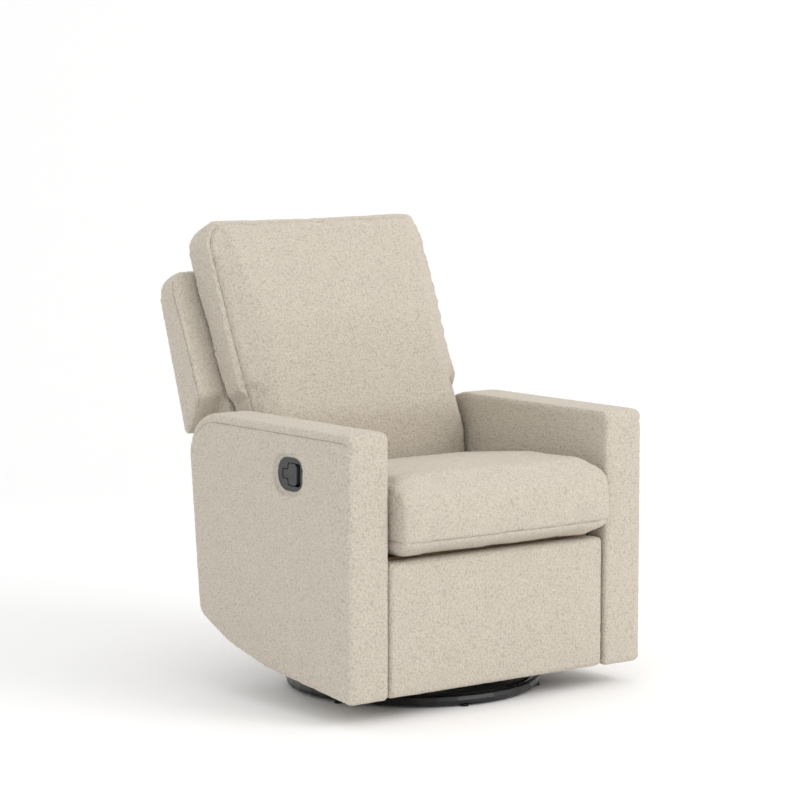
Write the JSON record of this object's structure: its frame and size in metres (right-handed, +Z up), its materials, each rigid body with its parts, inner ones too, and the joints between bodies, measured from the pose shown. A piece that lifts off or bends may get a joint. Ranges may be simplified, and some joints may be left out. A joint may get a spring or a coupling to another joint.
{
  "type": "swivel glider recliner chair",
  "caption": "Upholstered nursery glider chair on a round swivel base, with a glide linkage, a reclining back, a fold-out footrest and a release handle in one arm.",
  "frame": {"origin": "on the floor, under the middle of the chair's footprint", "axes": "+Z up; the sitter faces -Y; +X is the sitter's left"},
  "size_m": [0.8033, 0.8083, 1.0308],
  "materials": {
    "boucle": "cream looped upholstery fabric over foam",
    "hardwood": "raw sawn hardwood",
    "black_steel": "black satin powder coat",
    "bright_steel": "zinc plated",
    "handle_plastic": "charcoal moulded plastic",
    "cable_sheath": "black cable sheath",
    "rubber_pad": "matt black rubber"
  },
  "bodies": {
    "base": {"base_ring": "black_steel", "base_cross": "black_steel", "base_pad_1": "rubber_pad", "base_pad_2": "rubber_pad", "base_pad_3": "rubber_pad", "base_pad_4": "rubber_pad", "base_pad_5": "rubber_pad", "base_pad_6": "rubber_pad", "swivel_bearing": "bright_steel", "swivel_rivet": "bright_steel"},
    "turntable": {"turntable_plate": "black_steel", "cradle_bar_front": "black_steel", "cradle_bar_rear": "black_steel", "cradle_side_left": "black_steel", "cradle_side_right": "black_steel", "glide_shaft_front": "bright_steel", "glide_shaft_rear": "bright_steel"},
    "glide_links_front": {"glide_link_front_left": "black_steel", "glide_link_front_right": "black_steel"},
    "glide_links_rear": {"glide_link_rear_left": "black_steel", "glide_link_rear_right": "black_steel"},
    "chair": {"side_plate_left": "black_steel", "side_plate_right": "black_steel", "arm_clamp_left": "bright_steel", "arm_clamp_right": "bright_steel", "cross_beam_front": "black_steel", "cross_beam_rear": "black_steel", "glide_hanger_left": "black_steel", "glide_hanger_right": "black_steel", "seat_rail_front": "hardwood", "seat_rail_rear": "hardwood", "seat_spring_1": "bright_steel", "seat_spring_2": "bright_steel", "seat_spring_3": "bright_steel", "seat_cushion": "boucle", "arm_frame_left": "hardwood", "arm_frame_right": "hardwood", "arm_cover_left": "boucle", "arm_cover_right": "boucle", "handle_bezel": "handle_plastic", "release_cable": "cable_sheath"},
    "lever": {"release_lever": "handle_plastic"},
    "footrest_arms": {"footrest_arm_left": "black_steel", "footrest_arm_right": "black_steel", "footrest_tube": "black_steel"},
    "footrest_risers": {"footrest_riser_left": "black_steel", "footrest_riser_right": "black_steel"},
    "footrest_guides": {"footrest_guide_left": "black_steel", "footrest_guide_right": "black_steel"},
    "footrest_panel": {"footrest_bracket_left": "black_steel", "footrest_bracket_right": "black_steel", "footrest_board": "hardwood", "footrest_pad": "boucle"},
    "back": {"back_bracket_left": "black_steel", "back_bracket_right": "black_steel", "back_frame": "hardwood", "back_spring_1": "bright_steel", "back_spring_2": "bright_steel", "back_shell": "boucle", "back_cushion": "boucle"}
  },
  "joints": [
    {"name": "swivel", "type": "hinge", "parent": "base", "child": "turntable", "pos_m": [0, -0.072, 0.0269], "axis": [0, 0, 1], "continuous": true},
    {"name": "glide", "type": "hinge", "parent": "turntable", "child": "glide_links_front", "pos_m": [0, -0.164, 0.235], "axis": [1, 0, 0], "range_deg": [-14, 14]},
    {"name": "glide_level", "type": "hinge", "parent": "glide_links_front", "child": "chair", "pos_m": [0, -0.164, 0.115], "axis": [1, 0, 0], "range_deg": [-14.5, 14.5]},
    {"name": "glide_rear", "type": "hinge", "parent": "turntable", "child": "glide_links_rear", "pos_m": [0, 0.02, 0.235], "axis": [1, 0, 0], "range_deg": [-14.5, 14.5]},
    {"name": "recline", "type": "hinge", "parent": "chair", "child": "back", "pos_m": [0, 0.126, 0.36], "axis": [-1, 0, 0], "range_deg": [0, 30]},
    {"name": "footrest", "type": "hinge", "parent": "chair", "child": "footrest_arms", "pos_m": [0, -0.254, 0.275], "axis": [-1, 0, 0], "range_deg": [0, 90]},
    {"name": "footrest_riser", "type": "hinge", "parent": "footrest_arms", "child": "footrest_risers", "pos_m": [0, -0.26525, 0.06029], "axis": [1, 0, 0], "range_deg": [0, 147]},
    {"name": "footrest_guide", "type": "hinge", "parent": "footrest_arms", "child": "footrest_guides", "pos_m": [0, -0.26038, 0.09495], "axis": [1, 0, 0], "range_deg": [0, 147]},
    {"name": "footrest_tilt", "type": "hinge", "parent": "footrest_risers", "child": "footrest_panel", "pos_m": [0, -0.29341, 0.23808], "axis": [-1, 0, 0], "range_deg": [0, 147]},
    {"name": "release", "type": "hinge", "parent": "chair", "child": "lever", "pos_m": [-0.3978, -0.1445, 0.5135], "axis": [0, 0, -1], "range_deg": [0, 35], "stiffness_Nm_per_rad": 0.6, "springref_deg": -20.05}
  ],
  "couplings": [
    {"joint": "glide_level", "follows": "glide", "ratio": -1},
    {"joint": "glide_rear", "follows": "glide", "ratio": 1},
    {"joint": "footrest_riser", "follows": "footrest", "ratio": 1.6222},
    {"joint": "footrest_guide", "follows": "footrest", "ratio": 1.6222},
    {"joint": "footrest_tilt", "follows": "footrest", "ratio": 1.6222}
  ]
}
